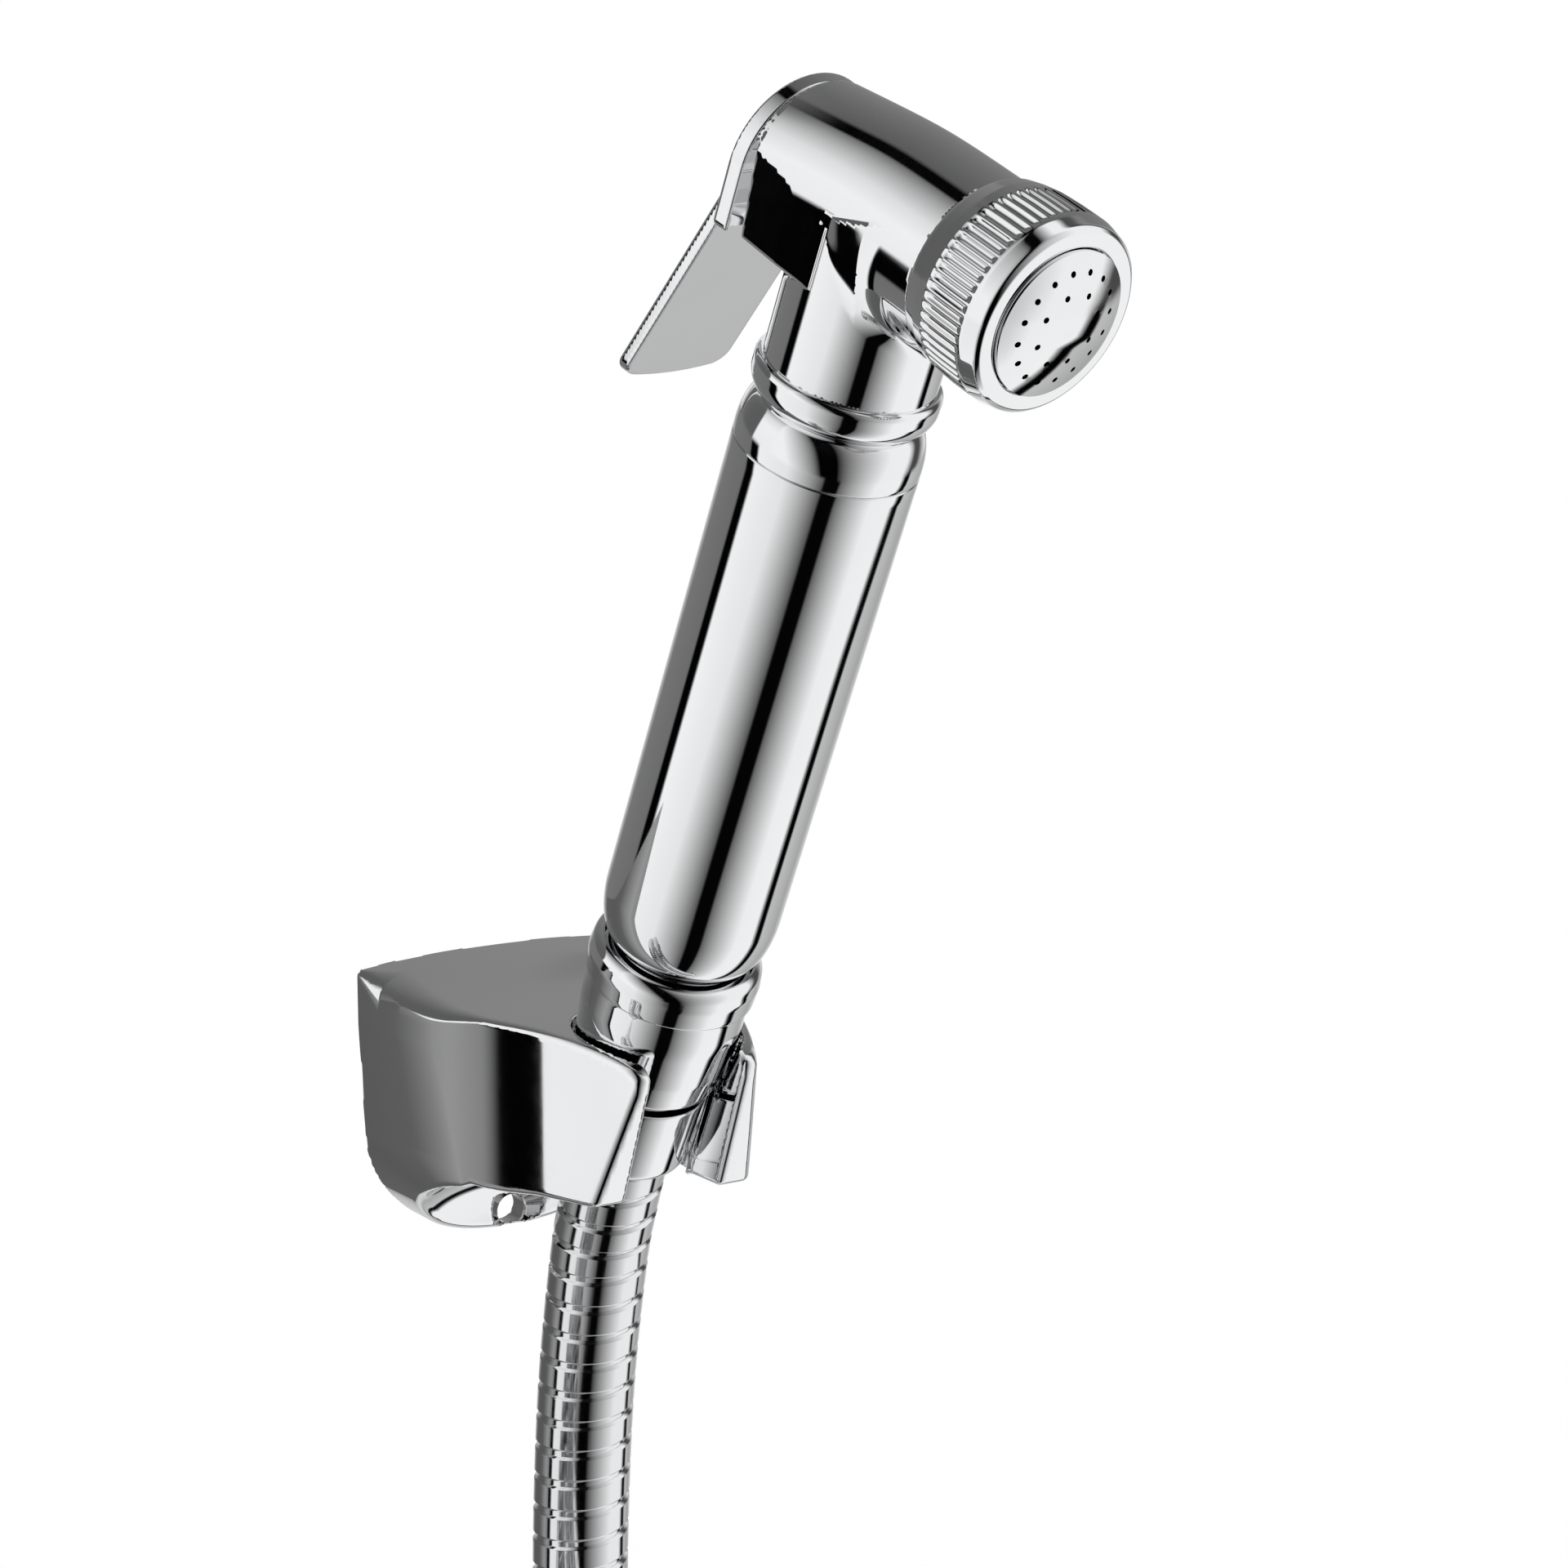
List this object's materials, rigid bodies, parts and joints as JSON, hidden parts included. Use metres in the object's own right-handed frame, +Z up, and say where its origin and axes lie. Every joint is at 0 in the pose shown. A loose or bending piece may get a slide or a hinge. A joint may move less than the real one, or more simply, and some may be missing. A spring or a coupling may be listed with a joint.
{
  "type": "handheld bidet shower",
  "caption": "Chromed hand-held bidet shower with a thumb lever at the back of its head, an armoured hose and the forked wall bracket that it hangs in.",
  "frame": {"origin": "centre of the bracket's plate on the wall", "axes": "+Z up the wall, -Y out of the wall, +X to the right of someone who faces the wall"},
  "size_m": [0.1918, 0.1326, 0.3727],
  "materials": {
    "chromed_brass": "polished chrome plate",
    "chromed_plastic": "polished chrome plate on moulded plastic",
    "hose_steel": "bright spiral steel band",
    "steel": "plain",
    "brass": "machined",
    "rubber": "matt black",
    "tie_rubber": "matt black"
  },
  "bodies": {
    "body": {"bracket": "chromed_plastic", "head_body": "chromed_brass", "handle": "chromed_brass", "knurled_ring": "chromed_brass", "spray_plate": "chromed_brass", "hinge_pin": "steel", "valve_spring": "steel", "spring_retainer": "steel", "gland_nut": "brass", "stem_seal": "rubber", "face_seal": "rubber", "neck_seal": "rubber", "hose_nut": "chromed_brass", "hose_washer_top": "rubber", "hose_insert_top": "brass", "hose_sleeve": "chromed_brass", "hose": "hose_steel", "hose_coil": "hose_steel", "hose_tail": "hose_steel", "coil_tie": "tie_rubber", "hose_sleeve_end": "chromed_brass", "hose_insert_end": "brass", "inlet_nut": "chromed_brass", "inlet_washer": "rubber"},
    "lever": {"lever": "chromed_brass"},
    "valve": {"valve_stem": "brass", "valve_washer": "rubber"}
  },
  "joints": [
    {"name": "lever_press", "type": "hinge", "parent": "body", "child": "lever", "pos_m": [-0.00212, -0.09338, 0.13993], "axis": [-0.9866, -0.1453, -0.0745], "range_deg": [0, 7.5], "stiffness_Nm_per_rad": 1.6, "springref_deg": -14.32},
    {"name": "valve_lift", "type": "slide", "parent": "body", "child": "valve", "axis": [0.1633, -0.8779, -0.4502], "range_m": [0, 0.00073]}
  ],
  "couplings": [
    {"joint": "valve_lift", "follows": "lever_press", "m_per_rad": 0.0055}
  ]
}
